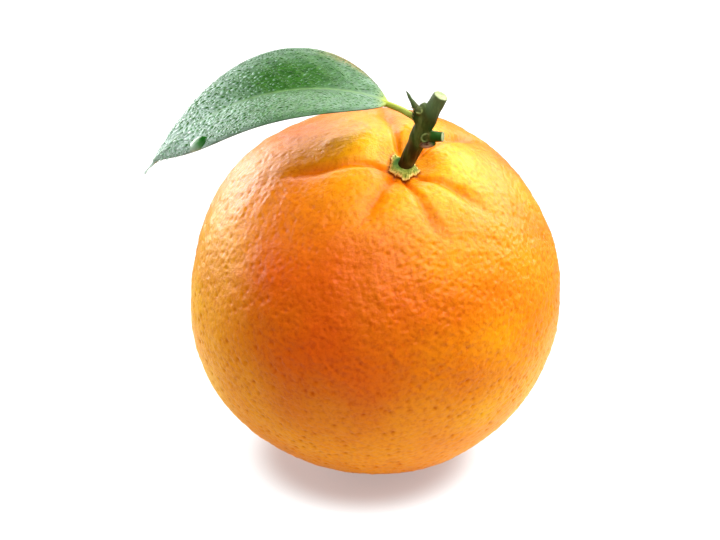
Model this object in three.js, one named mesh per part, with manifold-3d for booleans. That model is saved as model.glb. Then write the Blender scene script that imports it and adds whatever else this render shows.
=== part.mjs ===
// A ripe orange with its button, a short piece of cut twig and one arched leaf.
// Millimetres, +Z up. The origin is the middle of the small flat spot that the fruit rests on.
// The side that faces the viewer is -Y, and the leaf reaches out towards -X.
import * as THREE from 'three';
import { mergeVertices } from 'three/addons/utils/BufferGeometryUtils.js';
import Module from 'manifold-3d';

// Driving dimensions: lengths in millimetres, angles in degrees from the stem axis
const FRUIT_RADIUS = 38.0;
const CENTRE_HEIGHT = 37.4; // a little under the radius, which leaves the flat rest spot
const STEM_TILT = new THREE.Vector3(0.15, -0.303, 0.941).normalize(); // where the stem grows out
const HOLLOW_DEPTH = 3.3; // hollow round the stem
const HOLLOW_ANGLE = 6.8;
const SHOULDER_RISE = 1.15; // puffy shoulder round the hollow
const SHOULDER_ANGLE = 16;
const SHOULDER_SPREAD = 9;
const FURROW_HALF_WIDTH = 1.35;
const FURROW_PINCH = 0.55; // share of its width that a furrow loses beside the button
const FURROW_VALLEY = 4.6; // half width of the soft valley that each furrow lies in
const FURROW_SHARE = 0.55; // share of the depth that the narrow furrow has, the valley the rest
const FURROW_START = 2.5;
const FURROW_FULL = 8.5;
const FURROW_FADE = 14;
const PIT_DEPTH = 0.2;
const PIT_SHARE = 0.34; // share of the skin's corners that are pits
const LUMP_HEIGHT = 0.06;
const LUMP_LENGTH = 8.5;
const FLOWER_SCAR_DEPTH = 0.9;
const FLOWER_SCAR_RIM = 0.35;
const FLOWER_SCAR_ANGLE = 5;
const GAP = 0.3; // clear space between neighbouring pieces
const CALYX_RADIUS = 2.35;
const CALYX_THICKNESS = 0.95;
const CALYX_SEAT = 0.15; // extra room under the button
const CALYX_CURL = 0.25; // how far its lobes rise off the peel
const LOBE_HALF_ANGLE = 21; // round the button
const SOCKET_DEPTH = 0.45; // dip in the button that the twig stands in
const TWIG_RADIUS = 1.64;
const TWIG_SEAT = 36.75; // from the fruit's centre to the foot of the twig
const PETIOLE_RADIUS = 0.62;
const LEAF_HALF_WIDTH = 12.6;
const LEAF_THICKNESS = 0.64;
const LEAF_SWELL = 0.5; // how far each half of the blade bows up
const MIDRIB_DEPTH = 0.55;
const MIDRIB_RISE = 0.1;
const VEIN_RISE = 0.06;
const VEIN_PAIRS = 11;
const VEIN_SLANT = 2.2;

// Furrows: the angle round the stem where each runs out, how far it swings near the stem,
// its depth, and how far from the stem it fades (degrees and millimetres).
const FURROWS = [
  { at: 182, swing: 11, depth: 2.0, end: 40 },
  { at: 243, swing: -4, depth: 1.6, end: 31 },
  { at: 295, swing: -18, depth: 1.7, end: 32 },
  { at: 338, swing: -18, depth: 1.7, end: 32 },
  { at: 48, swing: 0, depth: 1.9, end: 43 },
  { at: 98, swing: 8, depth: 1.8, end: 39 },
];

// Lobes of the button: the angle of each tip and its reach past the disc.
const CALYX_LOBES = [
  { at: 58, reach: 0.95 },
  { at: 122, reach: 1.1 },
  { at: 205, reach: 0.5 },
  { at: 283, reach: 0.85 },
  { at: 342, reach: 0.85 },
];

// Slow bulges of the fruit: where each is, its height and how sharply it falls off.
const BULGES = [
  { way: new THREE.Vector3(-0.866, -0.31, -0.4).normalize(), height: 1.3, fall: 8 },
  { way: new THREE.Vector3(-0.731, 0.24, 0.644).normalize(), height: 1.1, fall: 10 },
];

// The leaf's outline and how its halves roll and fold, from the leaf stalk (0) to the tip (1).
const WIDTH_RISE = 0.636; // power of the outline's rise from the leaf stalk
const WIDTH_FALL = 1.009; // and of its fall to the tip
const rollAt = (u) => -0.02 + 1.067 * u - 1.868 * u * u + 1.326 * u * u * u;
const foldAt = (u) => 0.073 + 0.552 * u - 0.663 * u * u - 0.33 * u * u * u;

// Bark ridges of the twig: how many run round it, their height and their twist.
const BARK_RIDGES = [
  { count: 3, height: 0.02, twist: 5 },
  { count: 7, height: 0.015, twist: -9 },
];

const RAD = Math.PI / 180;
const CENTRE = new THREE.Vector3(0, 0, CENTRE_HEIGHT);
const POLE = STEM_TILT;
const E1 = new THREE.Vector3(1, 0, 0).addScaledVector(POLE, -POLE.x).normalize();
const E2 = new THREE.Vector3().crossVectors(POLE, E1);
const UP = new THREE.Vector3(0, 0, 1);

const clamp = (x, a, b) => Math.min(Math.max(x, a), b);
function smooth(x, a, b) {
  const t = clamp((x - a) / (b - a), 0, 1);
  return t * t * (3 - 2 * t);
}
const bell = (x) => Math.exp(-x * x);
// The same angle between -180 and 180 degrees.
const wrapped = (degrees) => degrees - 360 * Math.round(degrees / 360);

// Signed distance in mm round the fruit from a furrow's line.
function furrowOffset(furrow, theta, phi) {
  const line = furrow.at + furrow.swing * Math.exp(-(theta - 10) / 10);
  return FRUIT_RADIUS * Math.sin(theta * RAD) * wrapped(phi - line) * RAD;
}

function furrowStrength(furrow, theta) {
  const fade = smooth(theta, furrow.end - FURROW_FADE, furrow.end);
  return smooth(theta, FURROW_START, FURROW_FULL) * (1 - fade);
}

// Angles of a direction from the stem axis and round it, in degrees.
function anglesOf(dir) {
  const theta = Math.acos(clamp(dir.dot(POLE), -1, 1)) / RAD;
  const phi = Math.atan2(dir.dot(E2), dir.dot(E1)) / RAD;
  return [theta, phi];
}

function directionOf(theta, phi) {
  const s = Math.sin(theta * RAD);
  return new THREE.Vector3()
    .addScaledVector(POLE, Math.cos(theta * RAD))
    .addScaledVector(E1, s * Math.cos(phi * RAD))
    .addScaledVector(E2, s * Math.sin(phi * RAD));
}

// Distance of the peel from the fruit's centre, without its pits.
function peelRadius(dir) {
  const [theta, phi] = anglesOf(dir);
  let r = FRUIT_RADIUS;
  for (const bulge of BULGES) {
    r += bulge.height * Math.pow(Math.max(0, dir.dot(bulge.way)), bulge.fall);
  }
  r -= HOLLOW_DEPTH * bell(theta / HOLLOW_ANGLE);
  r += SHOULDER_RISE * bell((theta - SHOULDER_ANGLE) / SHOULDER_SPREAD);
  const halfWidth = FURROW_HALF_WIDTH * (1 - FURROW_PINCH * (1 - smooth(theta, 6, 20)));
  for (const furrow of FURROWS) {
    const s = furrowOffset(furrow, theta, phi);
    const narrow = FURROW_SHARE * bell(s / halfWidth);
    const wide = (1 - FURROW_SHARE) * bell(s / FURROW_VALLEY);
    r -= furrow.depth * furrowStrength(furrow, theta) * (narrow + wide);
  }
  // soft lumps, which fade out under the button and low on the fruit
  const k = (2 * Math.PI) / LUMP_LENGTH;
  const x = dir.x * FRUIT_RADIUS;
  const y = dir.y * FRUIT_RADIUS;
  const z = dir.z * FRUIT_RADIUS;
  const a = Math.sin(k * x + 1.7 * Math.sin(0.55 * k * z));
  const b = Math.sin(k * y + 1.3 * Math.sin(0.6 * k * x + 1));
  const c = Math.sin(k * z + 1.5 * Math.sin(0.5 * k * y + 2));
  const fade = smooth(theta, 8, 16) * (0.4 + 0.6 * smooth(z, -20, 20));
  r += LUMP_HEIGHT * fade * (a * b + b * c + c * a);
  // the small scar of the flower at the far end
  const far = 180 - theta;
  r -= FLOWER_SCAR_DEPTH * bell(far / FLOWER_SCAR_ANGLE);
  r += FLOWER_SCAR_RIM * bell((2 * (far - FLOWER_SCAR_ANGLE)) / FLOWER_SCAR_ANGLE);
  return r;
}

function seededDraws(seed) {
  let state = seed;
  return () => {
    state = (state * 1664525 + 1013904223) % 4294967296;
    return state / 4294967296;
  };
}

// Solids and rods
const wasm = await Module();
wasm.setup();

function bare(geometry) {
  const copy = geometry.clone();
  copy.deleteAttribute('normal');
  copy.deleteAttribute('uv');
  return mergeVertices(copy, 1e-4);
}

function toSolid(geometry) {
  const merged = bare(geometry);
  const mesh = new wasm.Mesh({
    numProp: 3,
    vertProperties: new Float32Array(merged.attributes.position.array),
    triVerts: new Uint32Array(merged.index.array),
  });
  mesh.merge();
  return new wasm.Manifold(mesh);
}

function toGeometry(solid) {
  const mesh = solid.getMesh();
  const geometry = new THREE.BufferGeometry();
  const positions = new Float32Array(mesh.vertProperties);
  geometry.setAttribute('position', new THREE.BufferAttribute(positions, 3));
  geometry.setIndex(new THREE.BufferAttribute(new Uint32Array(mesh.triVerts), 1));
  geometry.computeVertexNormals();
  return geometry;
}

function join(geometries) {
  return toGeometry(geometries.map(toSolid).reduce((whole, piece) => whole.add(piece)));
}

function radiusAlong(stops, t) {
  for (let i = 1; i < stops.length; i++) {
    const [t0, r0] = stops[i - 1];
    const [t1, r1] = stops[i];
    if (t <= t1) return r0 + ((r1 - r0) * (t - t0)) / (t1 - t0);
  }
  return stops[stops.length - 1][1];
}

// A closed rod along a curve: a cylinder bent onto it, with its own radius at every step.
function rod(points, stops, sides, steps, bark = () => 1) {
  const curve = new THREE.CatmullRomCurve3(points);
  const geometry = new THREE.CylinderGeometry(1, 1, 1, sides, steps);
  const position = geometry.attributes.position;
  const reference = new THREE.Vector3(0.2, -1, 0.1).normalize();
  const v = new THREE.Vector3();
  for (let i = 0; i < position.count; i++) {
    v.fromBufferAttribute(position, i);
    const t = clamp(v.y + 0.5, 0, 1);
    const angle = Math.atan2(v.z, v.x);
    const out = Math.hypot(v.x, v.z) * radiusAlong(stops, t) * bark(t, angle);
    const along = curve.getTangent(t);
    const side = reference.clone().addScaledVector(along, -reference.dot(along)).normalize();
    const other = new THREE.Vector3().crossVectors(side, along);
    const p = curve.getPoint(t);
    p.addScaledVector(side, out * Math.cos(angle));
    p.addScaledVector(other, out * Math.sin(angle));
    position.setXYZ(i, p.x, p.y, p.z);
  }
  return geometry;
}

function blob(centre, size, turn = [0, 0, 0]) {
  const geometry = new THREE.SphereGeometry(1, 10, 7);
  geometry.scale(...size);
  geometry.rotateX(turn[0]);
  geometry.rotateY(turn[1]);
  geometry.rotateZ(turn[2]);
  geometry.translate(...centre);
  return geometry;
}

function piece(name, geometry, color, roughness) {
  const material = new THREE.MeshStandardMaterial({ color, roughness, metalness: 0 });
  const mesh = new THREE.Mesh(geometry, material);
  mesh.name = name;
  return mesh;
}

// The fruit is a ball of small triangles with one corner on the stem axis. Its corners are
// drawn closer together near the stem and along the furrows, then set at the peel's height,
// and about one corner in three is sunk as an oil pit.
function fruitGeometry() {
  const ball = bare(new THREE.IcosahedronGeometry(1, 18));
  const position = ball.attributes.position;
  const corner = new THREE.Vector3(-1, (1 + Math.sqrt(5)) / 2, 0).normalize();
  const turn = new THREE.Quaternion().setFromUnitVectors(corner, POLE);
  const draw = seededDraws(1907);
  const crowding = 15; // degrees that corners half way down move towards the stem
  const reach = 4; // distance from a furrow within which corners move closer to it
  const dir = new THREE.Vector3();
  for (let i = 0; i < position.count; i++) {
    dir.fromBufferAttribute(position, i).applyQuaternion(turn).normalize();
    let [theta, phi] = anglesOf(dir);
    theta -= crowding * Math.sin(theta * RAD);
    for (const furrow of FURROWS) {
      const s = furrowOffset(furrow, theta, phi);
      const pull = smooth(theta, 5, 9) * (1 - smooth(theta, furrow.end - 6, furrow.end + 6));
      if (Math.abs(s) < reach) {
        const shift = -0.5 * pull * s * (1 - Math.abs(s) / reach);
        phi += shift / (FRUIT_RADIUS * Math.sin(theta * RAD)) / RAD;
      }
    }
    const at = directionOf(theta, phi);
    const pit = draw() < PIT_SHARE ? PIT_DEPTH * (0.5 + draw()) : 0;
    const r = peelRadius(at) - pit * smooth(theta, 9, 16);
    at.multiplyScalar(r).add(CENTRE);
    position.setXYZ(i, at.x, at.y, at.z);
  }
  const groundSize = 2.2 * FRUIT_RADIUS;
  const ground = new THREE.BoxGeometry(groundSize, groundSize, groundSize);
  ground.translate(0, 0, -groundSize / 2);
  return toGeometry(toSolid(ball).subtract(toSolid(ground)));
}

// The button (calyx): a disc with five blunt lobes, laid on the floor of the hollow.
function calyxGeometry() {
  const profile = [
    [0, 0],
    [0.35, 0],
    [0.7, 0],
    [1, 0],
    [1, 1],
    [0.82, 1],
    [0.64, 1],
    [0.45, 1],
    [0.22, 1],
    [0, 1],
  ].map(([x, y]) => new THREE.Vector2(x, y));
  const geometry = new THREE.LatheGeometry(profile, 40);
  const position = geometry.attributes.position;
  const middle = new THREE.Vector3(0.139, -0.3176, 0.938).normalize();
  const floor = FRUIT_RADIUS - HOLLOW_DEPTH;
  for (let i = 0; i < position.count; i++) {
    const x = position.getX(i);
    const top = position.getY(i);
    const z = position.getZ(i);
    const ring = Math.hypot(x, z);
    const angle = Math.atan2(-z, x) / RAD;
    let reach = CALYX_RADIUS;
    for (const lobe of CALYX_LOBES) {
      reach += lobe.reach * bell(wrapped(angle - lobe.at) / LOBE_HALF_ANGLE);
    }
    const out = ring * reach;
    const dir = middle.clone().multiplyScalar(floor);
    dir.addScaledVector(E1, out * Math.cos(angle * RAD));
    dir.addScaledVector(E2, out * Math.sin(angle * RAD));
    dir.normalize();
    const lift = CALYX_CURL * smooth(out, 2.1, 3.5);
    const fromTwig = dir.angleTo(POLE) * TWIG_SEAT;
    const socket = SOCKET_DEPTH * (1 - smooth(fromTwig, 1.65, 2.2));
    const thick = CALYX_THICKNESS - socket - 0.4 * smooth(out, 1.9, 3.1);
    const r = peelRadius(dir) + GAP + CALYX_SEAT + lift + top * thick;
    dir.multiplyScalar(r).add(CENTRE);
    position.setXYZ(i, dir.x, dir.y, dir.z);
  }
  return toGeometry(toSolid(geometry));
}

// The twig with its thorn, bud, knob, cut side stub, bud scar and dry bract
function stemGeometry() {
  const base = POLE.clone().multiplyScalar(TWIG_SEAT).add(CENTRE);
  const axis = [
    base.clone(),
    new THREE.Vector3(7.0, -11.6, 75.3),
    new THREE.Vector3(8.45, -12.3, 79.4),
    new THREE.Vector3(10.0, -13.1, 83.1),
    new THREE.Vector3(12.0, -13.75, 87.2),
  ];
  const widths = [
    [0, TWIG_RADIUS * 0.93],
    [0.12, TWIG_RADIUS * 0.95],
    [0.42, TWIG_RADIUS * 1.1],
    [0.62, TWIG_RADIUS * 1.14],
    [0.8, TWIG_RADIUS * 0.95],
    [1, TWIG_RADIUS * 0.84],
  ];
  const bark = (t, a) =>
    BARK_RIDGES.reduce((sum, ridge) => sum + ridge.height * Math.cos(ridge.count * a + ridge.twist * t), 1);
  const twig = rod(axis, widths, 24, 18, bark);
  const thornLine = [
    new THREE.Vector3(8.9, -13.1, 82.6),
    new THREE.Vector3(7.5, -12.75, 83.9),
    new THREE.Vector3(6.3, -12.0, 85.6),
    new THREE.Vector3(5.35, -11.5, 87.2),
  ];
  const thornWidths = [
    [0, 1.05],
    [0.35, 0.72],
    [0.7, 0.38],
    [1, 0.14],
  ];
  const thorn = rod(thornLine, thornWidths, 10, 8);
  const stubLine = [
    new THREE.Vector3(8.4, -12.4, 78.6),
    new THREE.Vector3(10.4, -13.4, 78.6),
    new THREE.Vector3(12.55, -14.25, 78.75),
  ];
  const stubWidths = [
    [0, 1.2],
    [0.5, 1.08],
    [1, 0.98],
  ];
  const stub = rod(stubLine, stubWidths, 14, 5);
  const node = blob([8.05, -12.6, 82.0], [1.4, 1.25, 2.1], [0, -0.35, 0]);
  const bud = blob([7.95, -13.65, 83.9], [0.8, 0.7, 1.0]);
  const knob = blob([8.75, -13.2, 84.6], [0.85, 0.75, 0.85]);
  const scar = blob([8.95, -13.85, 78.6], [0.85, 0.6, 0.95]);
  const bract = blob([9.6, -13.6, 76.8], [1.6, 0.65, 0.65], [0.3, -0.3, -0.2]);
  return join([twig, thorn, stub, node, bud, knob, scar, bract]);
}

// The leaf's blade hangs on an arched midrib and is folded along it. Roll and fold change on
// the way from the leaf stalk to the tip, and the blade rises a little between its side veins.
const MIDRIB = new THREE.CubicBezierCurve3(
  new THREE.Vector3(1.8, -5.7, 82.1),
  new THREE.Vector3(-13.9, -4.8, 88.3),
  new THREE.Vector3(-33.4, -5.0, 82.6),
  new THREE.Vector3(-44.2, -5.6, 69.6),
);

function leafWidth(u) {
  const shape = (x) => Math.pow(x, WIDTH_RISE) * Math.pow(1 - x, WIDTH_FALL);
  const widest = WIDTH_RISE / (WIDTH_RISE + WIDTH_FALL);
  return Math.max(LEAF_THICKNESS, (LEAF_HALF_WIDTH * shape(clamp(u, 0, 1))) / shape(widest));
}

// Point on the middle surface of the blade: u along the midrib, v from -1 (near) to 1 (far).
function leafPoint(u, v) {
  const along = MIDRIB.getTangentAt(u);
  const side = new THREE.Vector3().crossVectors(along, UP).normalize();
  const up = new THREE.Vector3().crossVectors(side, along);
  const tilt = v >= 0 ? foldAt(u) + rollAt(u) : foldAt(u) - rollAt(u);
  const across = Math.abs(v);
  const reach = leafWidth(u) * across;
  const p = MIDRIB.getPointAt(u);
  p.addScaledVector(side, Math.sign(v) * reach * Math.cos(tilt));
  p.addScaledVector(up, reach * Math.sin(tilt));
  const bow = Math.sin(Math.PI * across);
  const wave = Math.cos(2 * Math.PI * (VEIN_PAIRS * u - VEIN_SLANT * across));
  const fade = smooth(u, 0.04, 0.15) * (1 - smooth(u, 0.85, 0.97));
  p.addScaledVector(up, bow * (LEAF_SWELL * Math.sin(Math.PI * u) + VEIN_RISE * wave * fade));
  return p;
}

function leafNormal(u, v) {
  const du = 0.004;
  const dv = 0.03;
  const a = leafPoint(clamp(u + du, 0, 1), v).sub(leafPoint(clamp(u - du, 0, 1), v));
  const b = leafPoint(u, clamp(v + dv, -1, 1)).sub(leafPoint(u, clamp(v - dv, -1, 1)));
  return b.cross(a).normalize();
}

function bladeGeometry() {
  const steps = 46;
  const half = 6;
  const ribHalfWidth = 0.8;
  const columns = 2 * half + 1;
  const positions = [];
  for (let face = 0; face < 2; face++) {
    for (let i = 0; i <= steps; i++) {
      const u = i / steps;
      for (let j = -half; j <= half; j++) {
        const v = Math.sign(j) * Math.pow(Math.abs(j) / half, 1.25);
        const normal = leafNormal(u, v);
        const distance = leafWidth(u) * Math.abs(v);
        const rib = bell(distance / ribHalfWidth) * (1 - 0.75 * u);
        const relief = face ? MIDRIB_RISE * rib : -MIDRIB_DEPTH * rib;
        const offset = relief + (face - 0.5) * LEAF_THICKNESS;
        const p = leafPoint(u, v).addScaledVector(normal, offset);
        positions.push(p.x, p.y, p.z);
      }
    }
  }
  const index = [];
  const at = (face, i, j) => (face * (steps + 1) + i) * columns + j;
  const quad = (a, b, c, d) => index.push(a, b, c, a, c, d);
  for (let i = 0; i < steps; i++) {
    for (let j = 0; j < columns - 1; j++) {
      quad(at(1, i, j), at(1, i, j + 1), at(1, i + 1, j + 1), at(1, i + 1, j));
      index.push(at(0, i, j), at(0, i + 1, j + 1), at(0, i, j + 1));
      index.push(at(0, i, j), at(0, i + 1, j), at(0, i + 1, j + 1));
    }
    const last = columns - 1;
    quad(at(0, i, 0), at(1, i, 0), at(1, i + 1, 0), at(0, i + 1, 0));
    quad(at(0, i, last), at(0, i + 1, last), at(1, i + 1, last), at(1, i, last));
  }
  for (let j = 0; j < columns - 1; j++) {
    quad(at(0, 0, j), at(0, 0, j + 1), at(1, 0, j + 1), at(1, 0, j));
    quad(at(0, steps, j), at(1, steps, j), at(1, steps, j + 1), at(0, steps, j + 1));
  }
  const geometry = new THREE.BufferGeometry();
  geometry.setAttribute('position', new THREE.Float32BufferAttribute(positions, 3));
  geometry.setIndex(index);
  return geometry;
}

function leafGeometry() {
  const start = MIDRIB.getPointAt(0.05);
  start.z -= 0.25;
  const stalkLine = [
    new THREE.Vector3(6.4, -11.6, 82.05),
    new THREE.Vector3(4.6, -9.0, 82.15),
    new THREE.Vector3(2.3, -6.5, 82.1),
    start,
  ];
  const stalkWidths = [
    [0, PETIOLE_RADIUS * 1.15],
    [0.25, PETIOLE_RADIUS],
    [0.7, PETIOLE_RADIUS],
    [1, PETIOLE_RADIUS * 0.8],
  ];
  const stalk = rod(stalkLine, stalkWidths, 12, 12);
  const threadLine = [
    MIDRIB.getPointAt(0.975),
    new THREE.Vector3(-44.5, -5.8, 69.1),
    new THREE.Vector3(-45.4, -6.2, 68.3),
    new THREE.Vector3(-46.1, -6.6, 67.4),
  ];
  const threadWidths = [
    [0, 0.4],
    [0.4, 0.34],
    [1, 0.3],
  ];
  const thread = rod(threadLine, threadWidths, 8, 6);
  return join([bladeGeometry(), stalk, thread]);
}

const orange = new THREE.Group();
orange.add(piece('fruit', fruitGeometry(), 0xf09a22, 0.42));
orange.add(piece('calyx', calyxGeometry(), 0x9aa352, 0.75));
orange.add(piece('stem', stemGeometry(), 0x3c421d, 0.6));
orange.add(piece('leaf', leafGeometry(), 0x7aa36c, 0.38));

export default orange;
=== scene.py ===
import math

import bmesh
import bpy
import numpy as np
from mathutils import Matrix, Vector
from mathutils.kdtree import KDTree


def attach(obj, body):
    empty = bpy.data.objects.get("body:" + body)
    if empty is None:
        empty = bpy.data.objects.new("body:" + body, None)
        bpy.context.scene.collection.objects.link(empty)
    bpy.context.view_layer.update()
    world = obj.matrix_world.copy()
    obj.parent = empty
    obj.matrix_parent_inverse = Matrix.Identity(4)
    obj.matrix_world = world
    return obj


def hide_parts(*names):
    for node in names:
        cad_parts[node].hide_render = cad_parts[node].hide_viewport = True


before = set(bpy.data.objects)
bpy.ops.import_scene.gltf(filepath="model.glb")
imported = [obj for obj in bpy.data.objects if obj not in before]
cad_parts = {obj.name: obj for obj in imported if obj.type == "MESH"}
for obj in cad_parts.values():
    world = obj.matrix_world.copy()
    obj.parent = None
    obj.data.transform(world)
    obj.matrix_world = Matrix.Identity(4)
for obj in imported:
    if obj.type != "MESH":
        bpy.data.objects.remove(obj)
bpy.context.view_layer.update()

# Driving sizes in millimetres and degrees, with a few counts and shares: those of the solids
# and the finer relief's own
MM = 0.001
RAD = math.pi / 180
FRUIT_RADIUS = 38.0
CENTRE = np.array([0.0, 0.0, 37.4])
HOLLOW_DEPTH = 3.3
HOLLOW_ANGLE = 6.8
SHOULDER_RISE = 1.15
SHOULDER_ANGLE = 16.0
FURROW_HALF_WIDTH = 1.35
FURROW_VALLEY = 4.6
LUMP_HEIGHT = 0.06
LUMP_LENGTH = 8.5
LOW_LEFT_BULGE = 1.3
UP_LEFT_BULGE = 1.1
END_DIMPLE_DEPTH = 0.9
END_COLLAR_HEIGHT = 0.35
PEEL_FREQUENCY = 150
STEM_CROWDING = 12
FURROW_CROWDING = 0.3
GRID_JITTER = 0.0007
PIT_GAP = 1.15
PIT_SIZE = 0.26
PIT_DEPTH = 0.17
DISH_SIZE = 0.8
DISH_DEPTH = 0.08
PEEL_SKINS = 3
LOWEST = 0.02
CALYX_RADIUS = 2.35
CALYX_THICKNESS = 0.95
BUTTON_LEVEL = 35.0
CREASE_LEVEL = 35.5
TWIG_FOOT = 35.7
LEAF_HALF_WIDTH = 12.6
LEAF_THICKNESS = 0.6
MIDRIB_DEPTH = 0.55
VEINS = 11
VEIN_SLANT = 2.2
PETIOLE_RADIUS = 0.62
BIG_DROP = (0.7775, -0.81)
BIG_DROP_SIZE = (2.5, 1.35, 0.9)
DROP_HEIGHT = 0.42
TWIG_RADIUS = 1.64

# Each furrow: its bearing round the stem, its swing near the stem, its depth in millimetres and
# how far from the stem it ends
FURROWS = [
    (182, 11, 2.0, 40),
    (243, -4, 1.6, 31),
    (295, -18, 1.7, 32),
    (338, -18, 1.7, 32),
    (48, 0, 1.9, 43),
    (98, 8, 1.8, 39),
]
# Each lobe of the button: its bearing round the stem and how far it reaches past the round
CALYX_LOBES = [(58, 0.95), (122, 1.1), (205, 0.5), (283, 0.85), (342, 0.85)]


def unit(v):
    v = np.asarray(v, float)
    return v / np.linalg.norm(v, axis=-1, keepdims=True)


POLE = unit([0.15, -0.303, 0.941])
E1 = unit(np.array([1.0, 0, 0]) - POLE * POLE[0])
E2 = np.cross(POLE, E1)
LOW_LEFT = unit([-0.866, -0.31, -0.4])
UP_LEFT = unit([-0.731, 0.24, 0.644])
# the side that gets painted shade in the peel's colour
PAINTED_SHADE_SIDE = unit([-0.34, -0.86, 0.34])
BUTTON_MIDDLE = unit([0.139, -0.3176, 0.938])
UP = np.array([0.0, 0.0, 1.0])


def smooth(x, a, b):
    t = np.clip((x - a) / (b - a), 0, 1)
    return t * t * (3 - 2 * t)


def bell(x):
    return np.exp(-np.square(x))


def wrapped(degrees):
    return (degrees + 180) % 360 - 180


# Smooth random relief: many sine waves of one length in seeded directions
def ripples(points, length, seed, waves=28):
    rng = np.random.default_rng(seed)
    total = np.zeros(len(points))
    for way, phase in zip(unit(rng.normal(size=(waves, 3))), rng.uniform(0, 2 * math.pi, waves)):
        total += np.sin(points @ way * (2 * math.pi / length) + phase)
    return total / math.sqrt(waves / 2)


# Peel
def angles_of(dirs):
    theta = np.degrees(np.arccos(np.clip(dirs @ POLE, -1, 1)))
    return theta, np.degrees(np.arctan2(dirs @ E2, dirs @ E1))


def directions_of(theta, phi):
    s = np.sin(theta * RAD)[:, None]
    flat = np.cos(phi * RAD)[:, None] * E1 + np.sin(phi * RAD)[:, None] * E2
    return np.cos(theta * RAD)[:, None] * POLE + s * flat


def furrow_offset(furrow, theta, phi):
    line = furrow[0] + furrow[1] * np.exp(-(theta - 10) / 10)
    return FRUIT_RADIUS * np.sin(theta * RAD) * wrapped(phi - line) * RAD


def furrow_strength(furrow, theta):
    return smooth(theta, 2.5, 8.5) * (1 - smooth(theta, furrow[3] - 14, furrow[3]))


def furrow_cut(theta, phi, width=FURROW_HALF_WIDTH):
    cut = np.zeros(len(theta))
    narrow = width * (0.45 + 0.55 * smooth(theta, 6, 20))
    for furrow in FURROWS:
        s = furrow_offset(furrow, theta, phi)
        shape = 0.55 * bell(s / narrow) + 0.45 * bell(s / FURROW_VALLEY)
        cut += furrow[2] * furrow_strength(furrow, theta) * shape
    return np.where(theta < 60, cut, 0)


def peel_radius(dirs):
    theta, phi = angles_of(dirs)
    r = np.full(len(dirs), FRUIT_RADIUS)
    r += LOW_LEFT_BULGE * np.maximum(0, dirs @ LOW_LEFT) ** 8
    r += UP_LEFT_BULGE * np.maximum(0, dirs @ UP_LEFT) ** 10
    r -= HOLLOW_DEPTH * bell(theta / HOLLOW_ANGLE)
    r += SHOULDER_RISE * bell((theta - SHOULDER_ANGLE) / 9)
    r -= furrow_cut(theta, phi)
    k = 2 * math.pi / LUMP_LENGTH
    x, y, z = (dirs * FRUIT_RADIUS).T
    a = np.sin(k * x + 1.7 * np.sin(0.55 * k * z))
    b = np.sin(k * y + 1.3 * np.sin(0.6 * k * x + 1))
    c = np.sin(k * z + 1.5 * np.sin(0.5 * k * y + 2))
    fade = smooth(theta, 8, 16) * (0.4 + 0.6 * smooth(z, -20, 20))
    r += LUMP_HEIGHT * fade * (a * b + b * c + c * a)
    far = 180 - theta
    return r - END_DIMPLE_DEPTH * bell(far / 5) + END_COLLAR_HEIGHT * bell((far - 5) / 2.5)


# Finer relief than the solids hold
def fine_relief(dirs):
    theta, phi = angles_of(dirs)
    p = dirs * FRUIT_RADIUS
    high = smooth(p[:, 2], -8, 22)
    near = smooth(theta, 6, 14)
    r = 0.026 * near * (0.35 + 0.65 * high) * ripples(p * [1, 1, 1.5], 4.2, 11)
    calmer = near * (1 - 0.6 * smooth(dirs[:, 2] - dirs[:, 0], 0.5, 1.1))
    r += 0.024 * calmer * ripples(p, 1.9, 12)
    r += 0.02 * calmer * ripples(p, 1.05, 14, 40)
    r += 0.06 * ripples(p, 17.0, 13)
    # fine creases where the left furrow fades
    turn = wrapped(phi - 190)
    creased = bell((theta - 37) / 5) * bell(turn / 14)
    r += 0.05 * creased * np.sin(2 * math.pi * (theta + 0.25 * turn) / 2.6 + ripples(p, 6.0, 15))
    return r


# Points and triangles of an icosahedron whose sides are split, pushed out to a unit ball
def geodesic(frequency):
    ico = bmesh.new()
    bmesh.ops.create_icosphere(ico, subdivisions=1, radius=1)
    corners = unit([v.co[:] for v in ico.verts])
    sides = [[v.index for v in f.verts] for f in ico.faces]
    ico.free()
    steps = range(frequency + 1)
    i, j = [g.ravel() for g in np.meshgrid(steps, steps, indexing="ij")]
    keep = i + j <= frequency
    i, j = i[keep], j[keep]
    number = np.full((frequency + 2, frequency + 2), -1)
    number[i, j] = np.arange(len(i))
    up = i + j < frequency
    faces = [np.stack([number[i, j], number[i + 1, j], number[i, j + 1]], 1)[up]]
    down = i + j < frequency - 1
    faces.append(np.stack([number[i + 1, j], number[i + 1, j + 1], number[i, j + 1]], 1)[down])
    faces = np.vstack(faces)
    points, all_faces = [], []
    for k, (a, b, c) in enumerate(sides):
        mixed = (frequency - i - j)[:, None] * corners[a] + i[:, None] * corners[b]
        mixed = mixed + j[:, None] * corners[c]
        points.append(unit(mixed))
        all_faces.append(faces + k * len(i))
    points = np.vstack(points)
    _, first, back = np.unique(np.round(points, 6), axis=0, return_index=True, return_inverse=True)
    return points[first], back.ravel()[np.vstack(all_faces)]


# Seeded choice of points that stay apart, as oil pits and dew drops do
def spread_out(points, gap, seed):
    tree = KDTree(len(points))
    for n, p in enumerate(points):
        tree.insert(p, n)
    tree.balance()
    taken = np.zeros(len(points), bool)
    chosen = []
    for n in np.random.default_rng(seed).permutation(len(points)):
        if taken[n]:
            continue
        chosen.append(n)
        for _, m, _ in tree.find_range(points[n], gap[n]):
            taken[m] = True
    return np.array(chosen)


# For each point, which centre is nearest and how far off it is
def nearest(points, centres):
    tree = KDTree(len(centres))
    for n, p in enumerate(centres):
        tree.insert(p, n)
    tree.balance()
    found = [tree.find(p) for p in points]
    return np.array([f[1] for f in found]), np.array([f[2] for f in found])


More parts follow.
